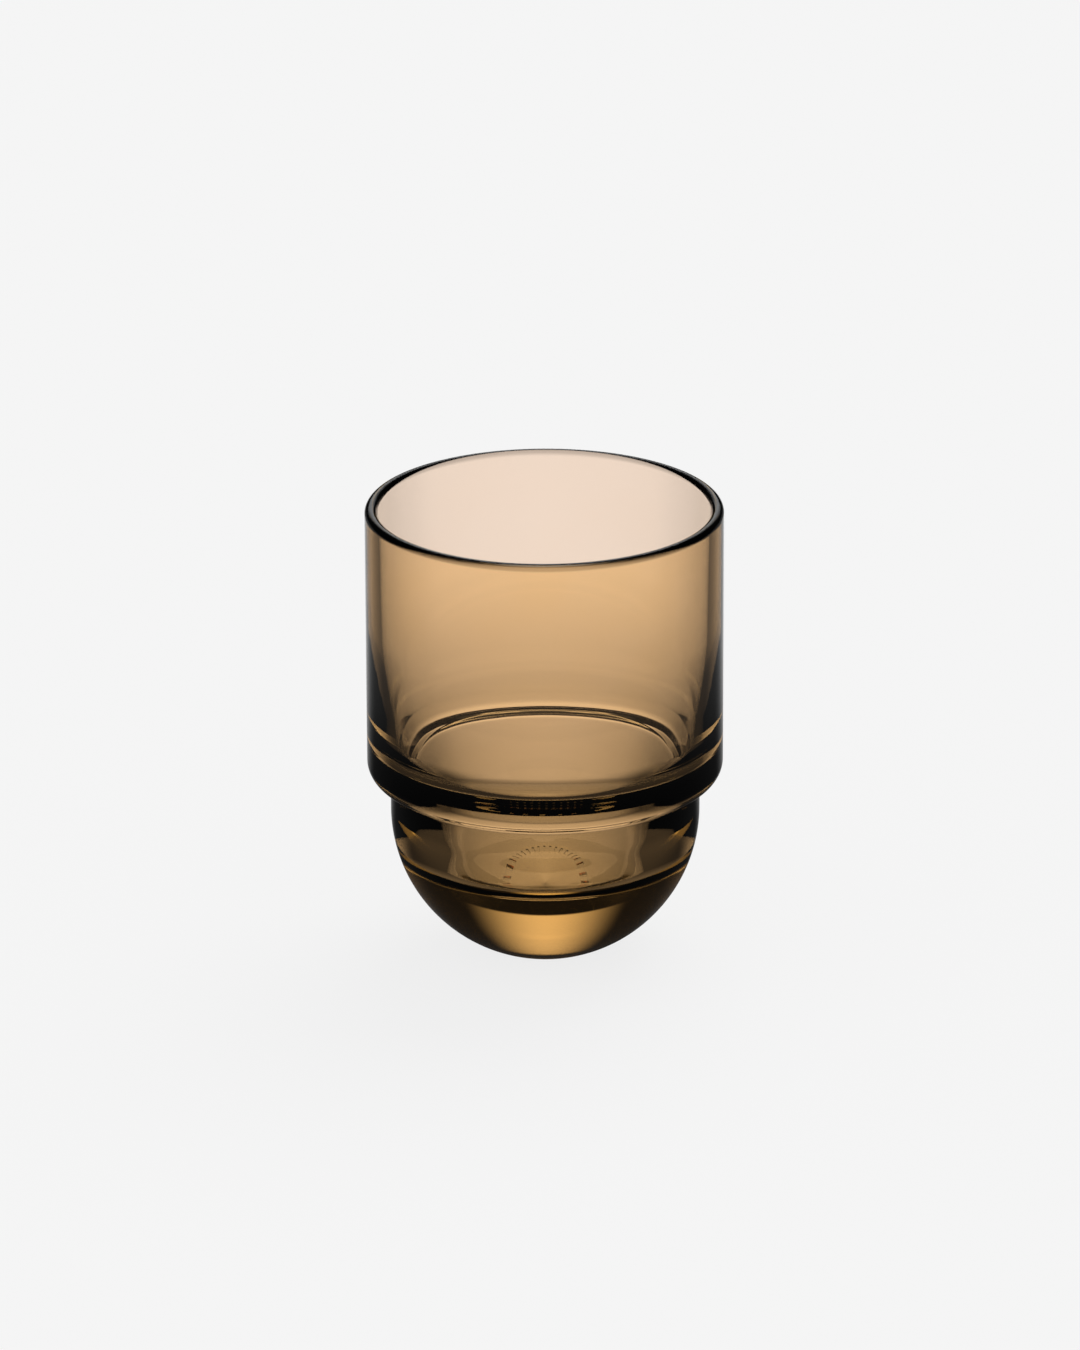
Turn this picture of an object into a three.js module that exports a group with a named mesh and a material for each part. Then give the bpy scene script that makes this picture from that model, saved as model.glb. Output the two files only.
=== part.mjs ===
// A stacking tumbler of pressed glass, in one piece: a straight upper wall with a fire-polished rim, a rounded
// shoulder that seats on the rim of the glass below, a round lower bowl with a thick bottom, and a flat foot.
// Millimetres, +Z up, with the origin at the middle of the foot's underside. The glass is one turned solid, so the
// whole shape is a single half section: up the outside from the foot, over the rim and down the inside.

import * as THREE from 'three';

// Driving dimensions of the outside
const HEIGHT = 97.2;
const RIM_RADIUS = 37.5;
const WALL_DRAFT = 0.2;
const SHOULDER_OVERHANG = 4.9;
const SHOULDER_ROUND = 4.2;
const UNDERSIDE_SLOPE = 13;
const NECK_HEIGHT = 6.3;
const NECK_FILLET = 1.3;
const FOOT_RADIUS = 10.6;

// Driving dimensions of the inside; heights are above the top of the neck
const RIM_WALL = 2.75;
const WALL_TAPER = 0.6;
const KNEE_RISE = 26.7;
const KNEE_ROUND = 200;
const HOLLOW_RISE = 9.6;
const HOLLOW_WALL = 4.9;
const HOLLOW_ROUND = 12.9;
const LIP_RISE = 2.9;
const LIP_WALL = 4.4;
const LIP_ROUND = 1.2;
const BELLY_DROP = 11.2;
const BELLY_WALL = 7;
const BELLY_ROUND = 69;
const FLOOR_INSET = 9.7;
const FLOOR_ROUND = 5.7;
const BOTTOM_THICKNESS = 19;

// Fineness of the mesh
const TURN_STEPS = 56;
const ARC_STEPS = 6;
const BOWL_STEPS = 12;

const GLASS_COLOUR = 0xa9794a;

// The outside, from the foot up
const bowlRadius = RIM_RADIUS - WALL_DRAFT - SHOULDER_OVERHANG;
const bowlCentre = Math.sqrt(bowlRadius ** 2 - FOOT_RADIUS ** 2);
const neckTop = bowlCentre + NECK_HEIGHT;
const shoulderRadius = RIM_RADIUS - WALL_DRAFT;
const undersideRise = SHOULDER_OVERHANG * Math.tan(THREE.MathUtils.degToRad(UNDERSIDE_SLOPE));
const rimRound = RIM_WALL / 2;

const point = (radius, height) => new THREE.Vector2(radius, height);

// Carries the section round the corner between its last point and the point after the corner.
function roundCorner(section, corner, after, radius) {
  const before = section[section.length - 1];
  const toBefore = before.clone().sub(corner).normalize();
  const toAfter = after.clone().sub(corner).normalize();
  const halfAngle = Math.acos(THREE.MathUtils.clamp(toBefore.dot(toAfter), -1, 1)) / 2;
  const room = Math.min(before.distanceTo(corner), after.distanceTo(corner)) * 0.95;
  const fitted = Math.min(radius, room * Math.tan(halfAngle));
  const bisector = toBefore.clone().add(toAfter).normalize();
  const centre = corner.clone().addScaledVector(bisector, fitted / Math.sin(halfAngle));
  const reach = fitted / Math.tan(halfAngle);
  const start = corner.clone().addScaledVector(toBefore, reach).sub(centre);
  const end = corner.clone().addScaledVector(toAfter, reach).sub(centre);
  const clockwise = start.cross(end) < 0;
  const arc = new THREE.EllipseCurve(centre.x, centre.y, fitted, fitted, start.angle(), end.angle(), clockwise);
  section.push(...arc.getPoints(ARC_STEPS));
}

// The outside: a flat foot, a round bowl, a straight neck, the shoulder's round and the wall up to the rim.
function drawOutside(section) {
  const footAngle = Math.atan2(-bowlCentre, FOOT_RADIUS);
  const bowl = new THREE.EllipseCurve(0, bowlCentre, bowlRadius, bowlRadius, footAngle, 0);
  const neck = point(bowlRadius, neckTop);
  const shoulder = point(shoulderRadius, neckTop + undersideRise);
  section.push(point(0, 0), ...bowl.getPoints(BOWL_STEPS));
  roundCorner(section, neck, shoulder, NECK_FILLET);
  roundCorner(section, shoulder, point(RIM_RADIUS, HEIGHT - rimRound), SHOULDER_ROUND);
}

// The rim: half a circle over the top of the wall.
function drawRim(section) {
  const rim = new THREE.EllipseCurve(RIM_RADIUS - rimRound, HEIGHT - rimRound, rimRound, rimRound, 0, Math.PI);
  section.push(...rim.getPoints(2 * ARC_STEPS));
}

// The inside: a wall that thickens below the knee, a hollow down to the lip, and the lower bowl to its floor.
function drawInside(section) {
  const knee = point(RIM_RADIUS - RIM_WALL - WALL_TAPER, neckTop + KNEE_RISE);
  const hollow = point(shoulderRadius - HOLLOW_WALL, neckTop + HOLLOW_RISE);
  const lip = point(bowlRadius - LIP_WALL, neckTop + LIP_RISE);
  const belly = point(bowlRadius - BELLY_WALL, lip.y - BELLY_DROP);
  const floorEdge = point(bowlRadius - FLOOR_INSET, BOTTOM_THICKNESS);
  const floorMiddle = point(0, BOTTOM_THICKNESS);
  roundCorner(section, knee, hollow, KNEE_ROUND);
  roundCorner(section, hollow, lip, HOLLOW_ROUND);
  roundCorner(section, lip, belly, LIP_ROUND);
  roundCorner(section, belly, floorEdge, BELLY_ROUND);
  roundCorner(section, floorEdge, floorMiddle, FLOOR_ROUND);
  section.push(floorMiddle);
}

const halfSection = [];
drawOutside(halfSection);
drawRim(halfSection);
drawInside(halfSection);

const glass = new THREE.MeshStandardMaterial({ color: GLASS_COLOUR, roughness: 0.03, metalness: 0 });
const turned = new THREE.LatheGeometry(halfSection, TURN_STEPS).rotateX(Math.PI / 2);

const body = new THREE.Mesh(turned, glass);
body.name = 'tumbler_body';

const tumbler = new THREE.Group();
tumbler.add(body);

export default tumbler;
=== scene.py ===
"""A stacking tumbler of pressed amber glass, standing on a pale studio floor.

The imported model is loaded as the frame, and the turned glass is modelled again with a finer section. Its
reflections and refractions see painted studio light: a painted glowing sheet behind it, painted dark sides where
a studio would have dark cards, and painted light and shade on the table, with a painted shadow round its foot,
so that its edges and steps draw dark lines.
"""

import logging
import math
from collections.abc import Callable
from dataclasses import dataclass, field
from enum import Enum

import bmesh
import bpy
from mathutils import Matrix, Vector


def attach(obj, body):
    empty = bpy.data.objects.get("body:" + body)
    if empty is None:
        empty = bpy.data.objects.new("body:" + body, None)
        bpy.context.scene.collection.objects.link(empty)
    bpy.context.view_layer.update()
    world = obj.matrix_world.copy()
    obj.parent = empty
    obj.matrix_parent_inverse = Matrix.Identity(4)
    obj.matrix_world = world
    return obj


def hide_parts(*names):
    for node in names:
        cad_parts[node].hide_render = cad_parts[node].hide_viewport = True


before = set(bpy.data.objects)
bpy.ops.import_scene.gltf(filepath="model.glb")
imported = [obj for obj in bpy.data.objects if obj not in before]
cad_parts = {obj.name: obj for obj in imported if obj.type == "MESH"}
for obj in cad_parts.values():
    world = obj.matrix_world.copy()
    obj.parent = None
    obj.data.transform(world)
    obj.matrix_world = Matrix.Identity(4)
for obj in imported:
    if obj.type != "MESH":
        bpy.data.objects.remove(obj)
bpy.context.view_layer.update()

LOG = logging.getLogger("tumbler")
MM = 0.001
SAME_PLACE = 1e-6
PHOTO_WIDTH = 1080
PHOTO_HEIGHT = 1350
PHOTO_RIM = 357.9

Colour = tuple[float, float, float]
Span = tuple[float, float]
Point = tuple[float, float]
Socket = bpy.types.NodeSocket
Draw = Callable[[bmesh.types.BMesh], None]
Layer = bmesh.types.BMLayerItem
Wire = bmesh.types.BMVert | bmesh.types.BMEdge


class Skin(Enum):
    """Which of the glass's two skins a stretch of the section belongs to, as the value of its tint."""

    STAINED = 1.0
    CLEAR = 0.0


class Ray(Enum):
    """The kinds of ray that the stage tells apart, by the name of Light Path's output."""

    CAMERA = "Is Camera Ray"
    GLOSSY = "Is Glossy Ray"
    TRANSMISSION = "Is Transmission Ray"


class Nodes:
    """A node tree under construction, with short calls for the nodes that the finishes use."""

    def __init__(self, tree: bpy.types.NodeTree) -> None:
        """Empties the tree.

        Args:
            tree: the material's or world's node tree.
        """
        self.tree = tree
        tree.nodes.clear()

    def add(self, kind: str, **settings: object) -> bpy.types.Node:
        """Makes a node.

        Args:
            kind: the node's type name, without the ShaderNode in front.
            **settings: properties to set on it.

        Returns:
            The new node.
        """
        node = self.tree.nodes.new("ShaderNode" + kind)
        for name, value in settings.items():
            setattr(node, name, value)
        return node

    def link(self, source: Socket, target: Socket) -> None:
        """Joins an output to an input."""
        self.tree.links.new(source, target)

    def feed(self, target: Socket, value: object) -> None:
        """Gives an input a constant or links an output to it.

        Args:
            target: the input.
            value: an output socket, a number or a colour.
        """
        if isinstance(value, Socket):
            self.link(value, target)
        else:
            target.default_value = value

    def math(self, operation: str, first: object, second: object = 0.0) -> Socket:
        """Makes a Math node.

        Args:
            operation: Blender's name of the operation.
            first: the first input, a socket or a number.
            second: the second input, a socket or a number.

        Returns:
            The node's output.
        """
        node = self.add("Math", operation=operation)
        self.feed(node.inputs[0], first)
        self.feed(node.inputs[1], second)
        return node.outputs[0]

    def ease(self, value: object, start: float, end: float, low: float, high: float) -> Socket:
        """Maps a value from one range to another along a smooth step.

        Args:
            value: the socket to map.
            start: the value at which the step starts.
            end: the value at which the step ends.
            low: what comes out before the start.
            high: what comes out after the end.

        Returns:
            The mapped value.
        """
        node = self.add("MapRange", interpolation_type="SMOOTHSTEP")
        self.feed(node.inputs["Value"], value)
        for name, number in zip(("From Min", "From Max", "To Min", "To Max"), (start, end, low, high)):
            node.inputs[name].default_value = number
        return node.outputs[0]

    def between(self, share: Socket, first: Socket, second: Socket) -> Socket:
        """Goes from one number to another.

        Args:
            share: how far it goes, from 0 to 1.
            first: the number at 0.
            second: the number at 1.

        Returns:
            The number between them.
        """
        return self.math("ADD", first, self.math("MULTIPLY", self.math("SUBTRACT", second, first), share))

    def blend(self, factor: object, first: object, second: object) -> Socket:
        """Mixes two colours.

        Args:
            factor: how much of the second shows.
            first: a colour socket or a colour of four numbers.
            second: a colour socket or a colour of four numbers.

        Returns:
            The mixed colour.
        """
        node = self.add("Mix", data_type="RGBA")
        self.feed(node.inputs[0], factor)
        self.feed(node.inputs[6], first)
        self.feed(node.inputs[7], second)
        return node.outputs[2]


def opaque(colour: Colour) -> tuple[float, float, float, float]:
    """Gives a colour with full alpha."""
    return (*colour, 1.0)


@dataclass(frozen=True)
class AmberGlass:
    """Clear pressed glass with an amber stain on its outside.

    The stain takes part of the light each time a ray crosses the outer skin, and the glass itself takes a little
    more along the way. Cycles tints one crossing by the root of Base Color, so the colours for the way in and
    the way out are the squares of what one crossing lets through. The way-out colour is paler than the way-in
    colour: the amber is the glass's own colour, and that extra paleness is a painted veil of reflected light.
    """

    name: str = "amber_glass"
    entering: Colour = (0.960, 0.582, 0.221)
    # Paler than entering: the stain's own colour plus a painted veil of reflected light over the far wall seen
    # through the mouth.
    leaving_with_painted_veil: Colour = (0.884, 0.575, 0.408)
    clear: Colour = (1.0, 1.0, 1.0)
    ior: float = 1.500
    bulk_colour: Colour = (0.984, 0.861, 0.404)
    bulk_density: float = 25.0
    wave_scale: float = 46.0
    wave_depth: float = 0.00002
    wave_detail: float = 2.0
    striae_scale: tuple[float, float, float] = (330.0, 330.0, 20.0)
    striae_detail: float = 1.0
    striae_share: float = 0.2
    haze_scale: float = 60.0
    haze_detail: float = 4.0
    haze_from: Span = (0.5, 0.8)
    haze: Span = (0.0, 0.012)
    shade_from: Span = (0.3, 0.7)
    shade: Span = (0.97, 1.0)

    def build(self) -> bpy.types.Material:
        """Makes the material.

        Returns:
            The material, with its surface and its volume.
        """
        material = bpy.data.materials.new(self.name)
        material.use_nodes = True
        nodes = Nodes(material.node_tree)
        place = nodes.add("TexCoord").outputs["Object"]
        glass = nodes.add("BsdfPrincipled")
        glass.inputs["IOR"].default_value = self.ior
        glass.inputs["Transmission Weight"].default_value = 1.0
        nodes.link(self._tint(nodes, place), glass.inputs["Base Color"])
        nodes.link(self._haze(nodes, place), glass.inputs["Roughness"])
        nodes.link(self._ripple(nodes, place), glass.inputs["Normal"])
        bulk = nodes.add("VolumeAbsorption")
        bulk.inputs["Color"].default_value = opaque(self.bulk_colour)
        bulk.inputs["Density"].default_value = self.bulk_density
        end = nodes.add("OutputMaterial")
        nodes.link(glass.outputs[0], end.inputs["Surface"])
        nodes.link(bulk.outputs[0], end.inputs["Volume"])
        return material

    def _noise(self, nodes: Nodes, place: Socket, scale: float, detail: float) -> Socket:
        """Makes an even noise.

        Args:
            nodes: the tree.
            place: where the noise is read.
            scale: the noise's scale.
            detail: how many finer layers it has.

        Returns:
            The noise's value.
        """
        noise = nodes.add("TexNoise")
        nodes.feed(noise.inputs["Vector"], place)
        noise.inputs["Scale"].default_value = scale
        noise.inputs["Detail"].default_value = detail
        return noise.outputs[0]

    def _tint(self, nodes: Nodes, place: Socket) -> Socket:
        """Makes the stain: one colour on the way in, another on the way out, and none on the clear skin. The
        paler way-out colour is partly painted reflected light.

        Args:
            nodes: the tree.
            place: Object coordinates.

        Returns:
            The colour for Base Color.
        """
        back = nodes.add("NewGeometry").outputs["Backfacing"]
        stain = nodes.blend(back, opaque(self.entering), opaque(self.leaving_with_painted_veil))
        skin = nodes.add("Attribute", attribute_name=Tumbler.TINT_LAYER).outputs["Fac"]
        waves = self._noise(nodes, place, self.wave_scale, self.wave_detail)
        cloud = nodes.ease(waves, *self.shade_from, *self.shade)
        depth = nodes.math("MULTIPLY", skin, cloud)
        return nodes.blend(depth, opaque(self.clear), stain)

    def _haze(self, nodes: Nodes, place: Socket) -> Socket:
        """Makes the faint touch marks that soften the gloss.

        Args:
            nodes: the tree.
            place: Object coordinates.

        Returns:
            The roughness.
        """
        marks = self._noise(nodes, place, self.haze_scale, self.haze_detail)
        return nodes.ease(marks, *self.haze_from, *self.haze)

    def _ripple(self, nodes: Nodes, place: Socket) -> Socket:
        """Makes the slow waves and the upright striae that pressing leaves.

        Args:
            nodes: the tree.
            place: Object coordinates.

        Returns:
            The bent normal.
        """
        stretch = nodes.add("Mapping")
        nodes.feed(stretch.inputs["Vector"], place)
        stretch.inputs["Scale"].default_value = self.striae_scale
        lines = self._noise(nodes, stretch.outputs[0], 1.0, self.striae_detail)
        striae = nodes.math("MULTIPLY", lines, self.striae_share)
        waves = self._noise(nodes, place, self.wave_scale, self.wave_detail)
        height = nodes.math("ADD", waves, striae)
        bump = nodes.add("Bump")
        bump.inputs["Strength"].default_value = 1.0
        bump.inputs["Distance"].default_value = self.wave_depth
        nodes.link(height, bump.inputs["Height"])
        return bump.outputs[0]


class SectionPen:
    """Draws a half section in the XZ plane as a chain of edges, with straight runs and round corners."""

    CHORD = 0.36 * MM
    LARGEST_STEP = math.radians(4.0)
    HOLD = 0.12 * MM
    LEAST_HOLDS = 4
    LEAST_RUN = 1e-7
    CORNER_ROOM = 0.97

    def __init__(self, mesh: bmesh.types.BMesh, start: Vector) -> None:
        """Puts the pen down.

        Args:
            mesh: the mesh to draw in.
            start: the first point.
        """
        self.mesh = mesh
        self.tip = mesh.verts.new(start)

    def line_to(self, end: Vector) -> None:
        """Draws a straight run, with a point close to each end so that smooth shading leaves it straight.

        Args:
            end: where it ends.
        """
        run = end - self.tip.co
        start = self.tip.co.copy()
        if run.length > self.LEAST_HOLDS * self.HOLD:
            hold = run.normalized() * self.HOLD
            self._grow_to(start + hold)
            self._grow_to(end - hold)
        if run.length > self.LEAST_RUN:
            self._grow_to(end)

    def _grow_to(self, end: Vector) -> None:
        """Adds one edge from the tip.

        Args:
            end: where it ends.
        """
        grown = bmesh.ops.extrude_vert_indiv(self.mesh, verts=[self.tip])["verts"]
        bmesh.ops.translate(self.mesh, verts=grown, vec=end - self.tip.co)
        self.tip = grown[0]

    def swing(self, centre: Vector, angle: float) -> None:
        """Draws an arc from the tip.

        Args:
            centre: the arc's centre.
            angle: how far it turns about +Y, in radians.
        """
        length = abs(angle) * (self.tip.co - centre).length
        steps = math.ceil(max(length / self.CHORD, abs(angle) / self.LARGEST_STEP))
        turn = dict(cent=centre, axis=(0, 1, 0), angle=angle, steps=steps)
        self.tip = bmesh.ops.spin(self.mesh, geom=[self.tip], **turn)["geom_last"][0]

    def round_corner(self, corner: Vector, after: Vector, radius: float) -> None:
        """Draws up to a corner and round it, towards the point after it.

        Args:
            corner: the sharp corner.
            after: the next corner of the section.
            radius: the corner's radius, made smaller where the runs are too short for it.
        """
        towards = self.tip.co - corner
        away = after - corner
        half = towards.angle(away) / 2
        room = self.CORNER_ROOM * min(towards.length, away.length)
        reach = min(radius / math.tan(half), room)
        towards.normalize()
        away.normalize()
        centre = corner + (towards + away).normalized() * (reach / math.cos(half))
        start = corner + towards * reach
        end = corner + away * reach
        self.line_to(start)
        side = (start - centre).cross(end - centre).y
        self.swing(centre, math.copysign(math.pi - 2 * half, side))


def at(radius: float, height: float) -> Vector:
    """Gives the point of the half section at a radius and a height in millimetres."""
    return Vector((radius * MM, 0.0, height * MM))


@dataclass
class TickRing:
    """A plain ring of short radial ticks, pressed a little way into the foot."""

    inner: float = 7.7
    outer: float = 9.7
    depth: float = 0.22
    every: int = 6
    wide: int = 2

    def press(self, mesh: bmesh.types.BMesh) -> None:
        """Sinks the ticks into the underside of a turned foot that has edge loops at both radii.

        Args:
            mesh: the turned glass.
        """
        middle = (self.inner + self.outer) / 2 * MM
        slack = (self.outer - self.inner) / 4 * MM
        under = [face for face in mesh.faces if face.calc_center_median().z < SAME_PLACE]
        band = [face for face in under if abs(face.calc_center_median().xy.length - middle) < slack]
        band.sort(key=lambda face: math.atan2(face.calc_center_median().y, face.calc_center_median().x))
        chosen = [face for place, face in enumerate(band) if place % self.every < self.wide]
        sunk = bmesh.ops.extrude_face_region(mesh, geom=chosen)["geom"]
        bmesh.ops.delete(mesh, geom=chosen, context="FACES_ONLY")
        corners = [item for item in sunk if isinstance(item, bmesh.types.BMVert)]
        bmesh.ops.translate(mesh, verts=corners, vec=(0.0, 0.0, self.depth * MM))


@dataclass
class Tumbler:
    """The glass: one turned solid, with the stain on its outside. Sizes are in millimetres and degrees."""

    height: float = 97.2
    rim_radius: float = 37.5
    wall_draft: float = 0.2
    overhang: float = 4.9
    shoulder_corner: float = 4.2
    underside_slope: float = 13.0
    neck_height: float = 6.3
    neck_fillet: float = 1.3
    foot_radius: float = 10.6
    rim_wall: float = 2.75
    knee: Point = (34.16, 63.65)
    knee_round: float = 200.95
    hollow: Point = (32.46, 46.55)
    hollow_round: float = 12.90
    lip: Point = (28.10, 39.86)
    lip_round: float = 1.25
    belly: Point = (25.39, 28.83)
    belly_round: float = 66.41
    floor_edge: Point = (22.66, 19.45)
    floor_round: float = 5.38
    floor_middle: float = 19.13
    stain_end: float = 56.0
    steps: int = 240
    glass: AmberGlass = field(default_factory=AmberGlass)
    ticks: TickRing = field(default_factory=TickRing)

    NODE = "tumbler_body"
    NAME = "tumbler_glass"
    TINT_LAYER = "stain"
    FLAT_UP_TO = 1.01

    def build(self) -> bpy.types.Object:
        """Turns, dresses and places the glass.

        Returns:
            The finished piece.
        """
        mesh = bmesh.new()
        layer = mesh.verts.layers.float.new(self.TINT_LAYER)
        outside = self._stretch(mesh, self._draw_outside, layer, Skin.STAINED)
        inside = self._stretch(mesh, self._draw_inside, layer, Skin.CLEAR)
        turn = dict(cent=(0, 0, 0), axis=(0, 0, 1), angle=math.tau, steps=self.steps, use_merge=True)
        for stretch in (outside, inside):
            bmesh.ops.spin(mesh, geom=stretch, **turn)
        bmesh.ops.remove_doubles(mesh, verts=mesh.verts[:], dist=SAME_PLACE)
        bmesh.ops.recalc_face_normals(mesh, faces=mesh.faces[:])
        self.ticks.press(mesh)
        for face in mesh.faces:
            face.smooth = face.calc_center_median().z > self.ticks.depth * MM * self.FLAT_UP_TO
        data = bpy.data.meshes.new(self.NAME)
        mesh.to_mesh(data)
        mesh.free()
        piece = bpy.data.objects.new(self.NAME, data)
        bpy.context.scene.collection.objects.link(piece)
        data.materials.append(self.glass.build())
        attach(piece, "root")
        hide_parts(self.NODE)
        return piece

    def _stretch(self, mesh: bmesh.types.BMesh, draw: Draw, layer: Layer, skin: Skin) -> list[Wire]:
        """Draws one stretch of the section and gives it its stain.

        Args:
            mesh: the mesh that takes it.
            draw: the method that draws the stretch.
            layer: the layer that holds the stain.
            skin: which skin it is.

        Returns:
            The stretch's points and edges.
        """
        old = set(mesh.edges)
        draw(mesh)
        edges = [edge for edge in mesh.edges if edge not in old]
        points = list({point for edge in edges for point in edge.verts})
        for point in points:
            point[layer] = skin.value
        return points + edges

    def _rim_centre(self) -> Vector:
        """Gives the centre of the rim's round in the half section."""
        return at(self.rim_radius - self.rim_wall / 2, self.height - self.rim_wall / 2)

    def _draw_outside(self, mesh: bmesh.types.BMesh) -> None:
        """Draws the section from the middle of the foot up to where the stain ends on the rim.

        Args:
            mesh: the mesh to draw in.
        """
        bowl = self.rim_radius - self.wall_draft - self.overhang
        centre = math.sqrt(bowl ** 2 - self.foot_radius ** 2)
        rise = self.overhang * math.tan(math.radians(self.underside_slope))
        neck = at(bowl, centre + self.neck_height)
        shoulder = at(self.rim_radius - self.wall_draft, centre + self.neck_height + rise)
        wall_top = at(self.rim_radius, self.height - self.rim_wall / 2)
        pen = SectionPen(mesh, at(0.0, 0.0))
        for radius in (self.ticks.inner, self.ticks.outer, self.foot_radius):
            pen.line_to(at(radius, 0.0))
        pen.swing(at(0.0, centre), -math.atan2(centre, self.foot_radius))
        pen.round_corner(neck, shoulder, self.neck_fillet * MM)
        pen.round_corner(shoulder, wall_top, self.shoulder_corner * MM)
        pen.line_to(wall_top)
        pen.swing(self._rim_centre(), -math.radians(self.stain_end))

    def _draw_inside(self, mesh: bmesh.types.BMesh) -> None:
        """Draws the section over the rim and down the inside to the middle of the floor.

        Args:
            mesh: the mesh to draw in.
        """
        lift = math.radians(self.stain_end)
        half = self.rim_wall / 2 * MM
        pen = SectionPen(mesh, self._rim_centre() + Vector((math.cos(lift), 0.0, math.sin(lift))) * half)
        pen.swing(self._rim_centre(), lift - math.pi)
        pen.round_corner(at(*self.knee), at(*self.hollow), self.knee_round * MM)
        pen.round_corner(at(*self.hollow), at(*self.lip), self.hollow_round * MM)
        pen.round_corner(at(*self.lip), at(*self.belly), self.lip_round * MM)
        pen.round_corner(at(*self.belly), at(*self.floor_edge), self.belly_round * MM)
        pen.round_corner(at(*self.floor_edge), at(0.0, self.floor_middle), self.floor_round * MM)
        pen.line_to(at(0.0, self.floor_middle))


@dataclass(frozen=True)
class PaintedStudioGlow:
    """Painted light and shade that only the glass's reflections and refractions see: a painted pool of light on
    the table and a painted glowing sheet behind it, with painted dark sides and a painted dim front.

    Azimuths are in degrees from straight behind the glass, and distances in millimetres from its axis. The
    floor's run is its painted brightness along a line straight behind, with a painted shadow round the foot.
    Near and far sides are where it fades out round the glass into painted dark sides, and the strip is where it
    fades out aside. To light that passes through the glass, the floor under the foot fades more slowly, and the
    front shows as well.
    """

    # All these levels are painted light and shade on the table, seen only by the glass: the run's dip near 38 mm
    # is a painted shadow round the foot, its rise under the foot is painted light, and the far run is a painted
    # pool of light.
    painted_floor_dark: float = 0.028
    painted_floor_run: tuple[tuple[float, float], ...] = (
        (8.0, 0.440),
        (20.1, 0.300),
        (38.2, 0.246),
        (70.4, 0.582),
        (130.8, 0.622),
        (221.3, 0.840),
        (402.4, 0.830),
    )
    near_sides: Span = (0.0, 109.2)
    under_sides: Span = (0.0, 225.1)
    far_sides: Span = (0.0, 50.4)
    far_from: Span = (17.8, 53.3)
    back_level: float = 0.084
    back_from: Span = (129.6, 207.2)
    floor_strip: Span = (69.2, 263.9)
    fore_level: float = 0.5
    fore_sides: Span = (65.0, 95.0)
    fore_from: Span = (80.0, 140.0)
    front_level: float = 0.2
    front_from: Span = (70.0, 110.0)
    front_top: Span = (45.0, 60.0)
    # The sheet is a painted glowing backdrop between these rises and sides, and all else the glass sees round
    # the table is painted dark.
    painted_surround_dark: float = 0.010
    painted_sheet_bright: float = 0.930
    sheet_sides: Span = (0.0, 28.0)
    sheet_foot: Span = (12.9, 13.9)
    sheet_top: Span = (47.2, 53.3)

    def _metres(self, span: Span) -> Span:
        """Gives a span of millimetres in metres."""
        return span[0] * MM, span[1] * MM

    def _azimuth(self, nodes: Nodes, split: bpy.types.Node) -> Socket:
        """Works out how far round from straight behind a place is.

        Args:
            nodes: the tree.
            split: the node that splits the place or direction.

        Returns:
            The azimuth in degrees.
        """
        aside = nodes.math("ABSOLUTE", split.outputs["X"])
        return nodes.math("DEGREES", nodes.math("ARCTAN2", aside, split.outputs["Y"]))

    def _run(self, nodes: Nodes, distance: Socket) -> Socket:
        """Makes the run of light along the table.

        Args:
            nodes: the tree.
            distance: how far from the glass's axis a place is, in metres.

        Returns:
            The table's brightness straight behind the glass.
        """
        reach = self.painted_floor_run[-1][0]
        ramp = nodes.add("ValToRGB")
        stops = ramp.color_ramp.elements
        for place, bright in self.painted_floor_run[1:-1]:
            stops.new(place / reach).color = opaque((bright,) * 3)
        for stop, (place, bright) in zip((stops[0], stops[-1]), (self.painted_floor_run[0], self.painted_floor_run[-1])):
            stop.position = place / reach
            stop.color = opaque((bright,) * 3)
        nodes.link(nodes.math("DIVIDE", distance, reach * MM), ramp.inputs[0])
        return ramp.outputs[0]

    def painted_floor_glow(self, nodes: Nodes, place: Socket, through: Socket) -> Socket:
        """Makes the painted light and shade on the table that the glass's reflections and refractions see.

        Args:
            nodes: the tree.
            place: Object coordinates on the floor.
            through: 1 for light that passes through the glass, which alone shows the table's front.

        Returns:
            The glow's strength.
        """
        split = nodes.add("SeparateXYZ")
        nodes.link(place, split.inputs[0])
        angle = self._azimuth(nodes, split)
        along = nodes.add("VectorMath", operation="LENGTH")
        nodes.link(place, along.inputs[0])
        distance = along.outputs["Value"]
        # The fades aside make painted dark sides, and the run carries the painted shadow round the foot and the
        # painted pool of light behind.
        mirrored = nodes.ease(angle, *self.near_sides, 1.0, 0.0)
        near = nodes.between(through, mirrored, nodes.ease(angle, *self.under_sides, 1.0, 0.0))
        far = nodes.ease(angle, *self.far_sides, 1.0, 0.0)
        share = nodes.ease(distance, *self._metres(self.far_from), 0.0, 1.0)
        across = nodes.between(share, near, far)
        aside = nodes.math("ABSOLUTE", split.outputs["X"])
        strip = nodes.ease(aside, *self._metres(self.floor_strip), 1.0, 0.0)
        lit = nodes.math("MULTIPLY", self._run(nodes, distance), nodes.math("MULTIPLY", across, strip))
        back = nodes.ease(distance, *self._metres(self.back_from), 0.0, self.back_level)
        ahead = nodes.ease(angle, *self.fore_sides, 0.0, self.fore_level)
        clear = nodes.ease(distance, *self._metres(self.fore_from), 0.0, 1.0)
        fore = nodes.math("MULTIPLY", through, nodes.math("MULTIPLY", ahead, clear))
        return nodes.math("ADD", nodes.math("ADD", lit, fore), nodes.math("ADD", back, self.painted_floor_dark))

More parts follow.
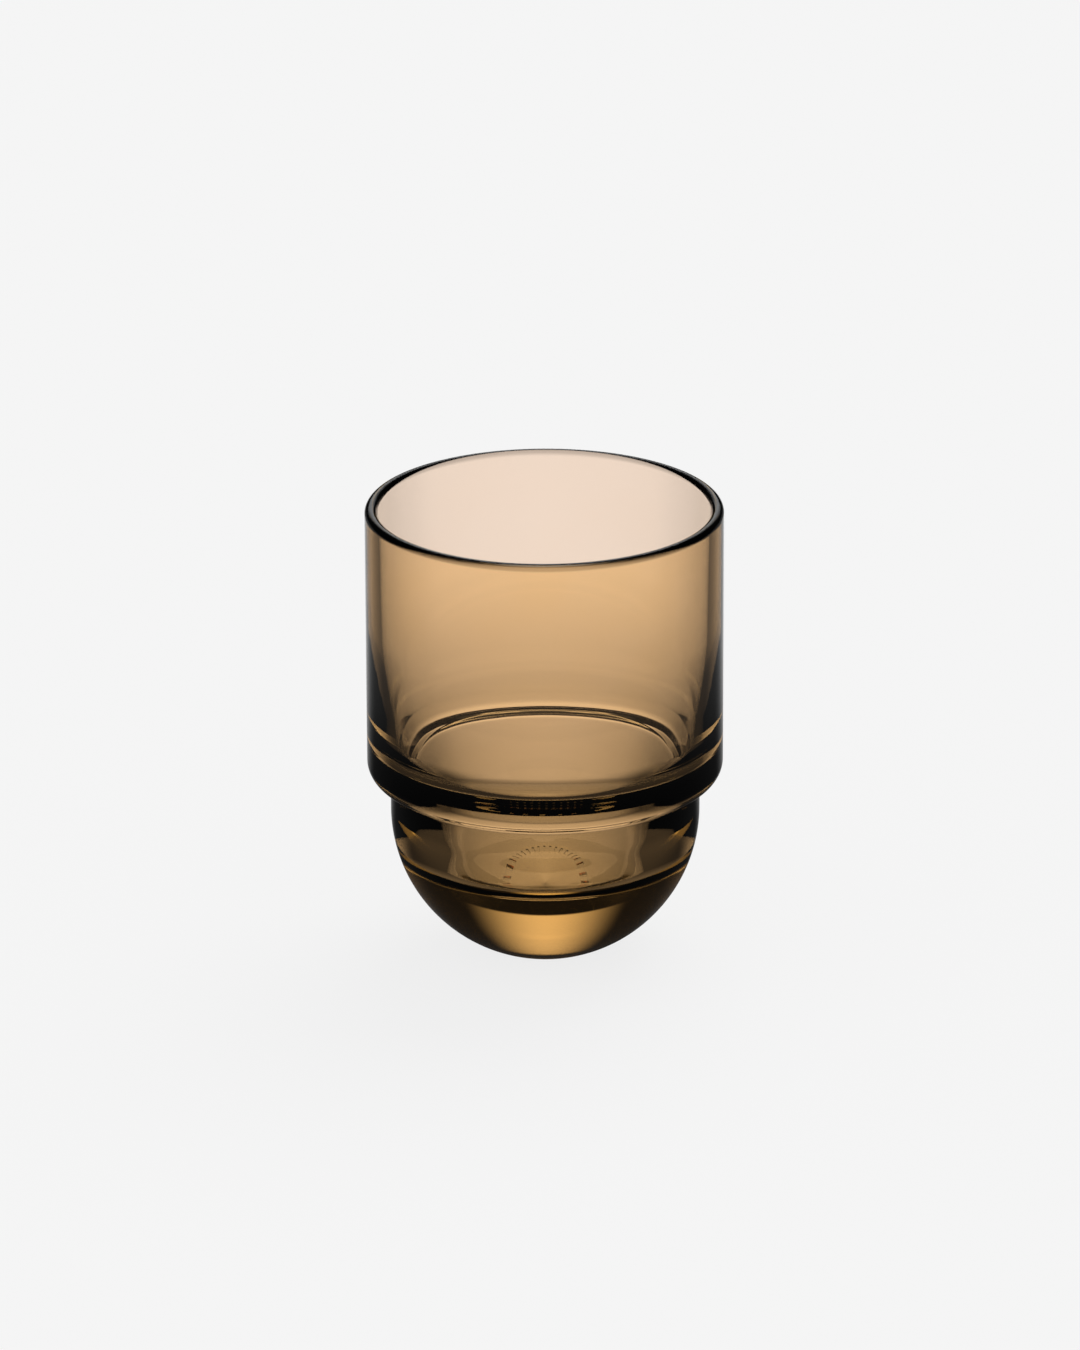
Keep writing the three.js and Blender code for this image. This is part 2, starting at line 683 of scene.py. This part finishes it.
    def painted_sheet_glow(self, nodes: Nodes, direction: Socket, through: Socket) -> Socket:
        """Makes the painted glow of a sheet behind the table, with painted dark sides and a painted dim front,
        which only the glass's reflections and refractions see.

        Args:
            nodes: the tree.
            direction: the direction looked at.
            through: 1 for light that passes through the glass, which alone shows the room in front.

        Returns:
            The glow's strength.
        """
        split = nodes.add("SeparateXYZ")
        nodes.link(direction, split.inputs[0])
        angle = self._azimuth(nodes, split)
        # A painted glowing sheet behind, painted dark sides, and for light through the glass a painted dim
        # front.
        across = nodes.ease(angle, *self.sheet_sides, self.painted_sheet_bright, 0.0)
        rise = nodes.math("DEGREES", nodes.math("ARCSINE", split.outputs["Z"]))
        foot = nodes.ease(rise, *self.sheet_foot, 0.0, 1.0)
        top = nodes.ease(rise, *self.sheet_top, 1.0, 0.0)
        lit = nodes.math("MULTIPLY", across, nodes.math("MULTIPLY", foot, top))
        ahead = nodes.ease(angle, *self.front_from, 0.0, self.front_level)
        low = nodes.ease(rise, *self.front_top, 1.0, 0.0)
        front = nodes.math("MULTIPLY", through, nodes.math("MULTIPLY", ahead, low))
        return nodes.math("ADD", nodes.math("ADD", lit, front), self.painted_surround_dark)


@dataclass(frozen=True)
class Paper:
    """The pale paper of the floor and backdrop."""

    tone: float = 0.913
    lit: float = 0.933
    shadow: float = 0.12


@dataclass
class Studio:
    """The pale floor, the world and the lamp."""

    paper: Paper = field(default_factory=Paper)
    # Painted light and shade that only the glass's reflections and refractions see.
    glow: PaintedStudioGlow = field(default_factory=PaintedStudioGlow)
    floor_size: float = 12.0
    floor_gap: float = 0.05
    ambient: float = 0.5
    sun_strength: float = 1.3
    sun_angle: float = 50.0
    sun_tilt: Span = (-32.0, 18.0)

    def build(self) -> None:
        """Makes the floor, the world and the lamp."""
        self._floor()
        self._world()
        self._lamp()

    def _seen_by(self, nodes: Nodes, *rays: Ray) -> Socket:
        """Tells whether a ray is of one of some kinds.

        Args:
            nodes: the tree.
            *rays: the kinds.

        Returns:
            1 where it is, else 0.
        """
        path = nodes.add("LightPath")
        total: object = 0.0
        for ray in rays:
            total = nodes.math("MAXIMUM", path.outputs[ray.value], total)
        return total

    def _floor(self) -> None:
        """Makes the floor, just below the foot."""
        mesh = bmesh.new()
        bmesh.ops.create_grid(mesh, x_segments=1, y_segments=1, size=self.floor_size / 2)
        bmesh.ops.translate(mesh, verts=mesh.verts[:], vec=(0.0, 0.0, -self.floor_gap * MM))
        data = bpy.data.meshes.new("studio_floor")
        mesh.to_mesh(data)
        mesh.free()
        floor = bpy.data.objects.new("studio_floor", data)
        bpy.context.scene.collection.objects.link(floor)
        data.materials.append(self._floor_material())

    def _floor_material(self) -> bpy.types.Material:
        """Makes the floor's paper, which glows evenly for the camera and keeps a faint real shadow, and shows
        the glass's reflections and refractions painted light and shade: a painted pool of light behind, a
        painted shadow round the foot and painted dark sides.

        Returns:
            The material.
        """
        material = bpy.data.materials.new("studio_paper")
        material.use_nodes = True
        nodes = Nodes(material.node_tree)
        place = nodes.add("TexCoord").outputs["Object"]
        paper = nodes.add("BsdfDiffuse")
        paper.inputs["Color"].default_value = opaque((self.paper.tone,) * 3)
        lit = nodes.add("Emission")
        lit.inputs["Strength"].default_value = self.paper.lit
        seen = nodes.add("MixShader")
        seen.inputs[0].default_value = self.paper.shadow
        nodes.link(lit.outputs[0], seen.inputs[1])
        nodes.link(paper.outputs[0], seen.inputs[2])
        # Painted light and shade on the floor, seen only by the glass's reflections and refractions.
        glow = nodes.add("Emission")
        through = self._seen_by(nodes, Ray.TRANSMISSION)
        nodes.link(self.glow.painted_floor_glow(nodes, place, through), glow.inputs["Strength"])
        for_glass = nodes.add("MixShader")
        nodes.link(self._seen_by(nodes, Ray.GLOSSY, Ray.TRANSMISSION), for_glass.inputs[0])
        nodes.link(paper.outputs[0], for_glass.inputs[1])
        nodes.link(glow.outputs[0], for_glass.inputs[2])
        final = nodes.add("MixShader")
        nodes.link(self._seen_by(nodes, Ray.CAMERA), final.inputs[0])
        nodes.link(for_glass.outputs[0], final.inputs[1])
        nodes.link(seen.outputs[0], final.inputs[2])
        end = nodes.add("OutputMaterial")
        nodes.link(final.outputs[0], end.inputs["Surface"])
        return material

    def _world(self) -> None:
        """Makes the world: plain paper to the camera, a painted glowing sheet with painted dark sides to the
        glass's reflections and refractions, and even light to the rest.
        """
        world = bpy.data.worlds.new("studio")
        bpy.context.scene.world = world
        world.use_nodes = True
        nodes = Nodes(world.node_tree)
        direction = nodes.add("TexCoord").outputs["Generated"]
        # Painted glowing sheet and painted dark sides, seen only by the glass's reflections and refractions.
        glow = self.glow.painted_sheet_glow(nodes, direction, self._seen_by(nodes, Ray.TRANSMISSION))
        even = nodes.blend(self._seen_by(nodes, Ray.GLOSSY, Ray.TRANSMISSION), opaque((self.ambient,) * 3), glow)
        shown = nodes.blend(self._seen_by(nodes, Ray.CAMERA), even, opaque((self.paper.tone,) * 3))
        sky = nodes.add("Background")
        nodes.link(shown, sky.inputs["Color"])
        end = nodes.add("OutputWorld")
        nodes.link(sky.outputs[0], end.inputs["Surface"])

    def _lamp(self) -> None:
        """Hangs one soft lamp, which the glass doesn't mirror."""
        light = bpy.data.lights.new("softbox", "SUN")
        light.energy = self.sun_strength
        light.angle = math.radians(self.sun_angle)
        lamp = bpy.data.objects.new("softbox", light)
        lamp.rotation_euler = [math.radians(angle) for angle in (*self.sun_tilt, 0.0)]
        lamp.visible_glossy = False
        lamp.visible_transmission = False
        bpy.context.scene.collection.objects.link(lamp)


@dataclass
class PhotoCamera:
    """The camera, at the photograph's angle and framing."""

    elevation: float = 20.10
    roll: float = 0.2
    distance: float = 3.018
    middle: Point = (544.8, 724.7)
    sensor: float = 36.0

    def build(self, height: float, rim_radius: float) -> bpy.types.Object:
        """Sets up the camera.

        Args:
            height: the glass's height in millimetres.
            rim_radius: its rim's radius in millimetres.

        Returns:
            The camera.
        """
        pixel = 2 * rim_radius * MM / PHOTO_RIM
        tilt = math.radians(self.elevation)
        right = Vector((1.0, 0.0, 0.0))
        up = Vector((0.0, math.sin(tilt), math.cos(tilt)))
        ahead = Vector((0.0, math.cos(tilt), -math.sin(tilt)))
        aim = Vector((0.0, 0.0, height / 2 * MM))
        aim += right * (PHOTO_WIDTH / 2 - self.middle[0]) * pixel
        aim += up * (self.middle[1] - PHOTO_HEIGHT / 2) * pixel
        data = bpy.data.cameras.new("photo_camera")
        data.sensor_fit = "HORIZONTAL"
        data.sensor_width = self.sensor
        data.lens = self.sensor * self.distance / (PHOTO_WIDTH * pixel)
        camera = bpy.data.objects.new("photo_camera", data)
        camera.location = aim - ahead * self.distance
        turn = Matrix.Rotation(math.radians(self.roll), 3, ahead)
        camera.rotation_euler = (turn @ ahead.to_track_quat("-Z", "Y").to_matrix()).to_euler()
        bpy.context.scene.collection.objects.link(camera)
        bpy.context.scene.camera = camera
        return camera


def main() -> None:
    """Builds the glass, the studio and the camera."""
    logging.basicConfig(level=logging.INFO, format="%(name)s: %(message)s")
    bpy.context.scene.view_settings.view_transform = "Standard"
    tumbler = Tumbler()
    piece = tumbler.build()
    LOG.info("%s: %d faces", piece.name, len(piece.data.polygons))
    Studio().build()
    camera = PhotoCamera().build(tumbler.height, tumbler.rim_radius)
    LOG.info("%s: lens %.0f mm", camera.name, camera.data.lens)


if __name__ == "__main__":
    main()
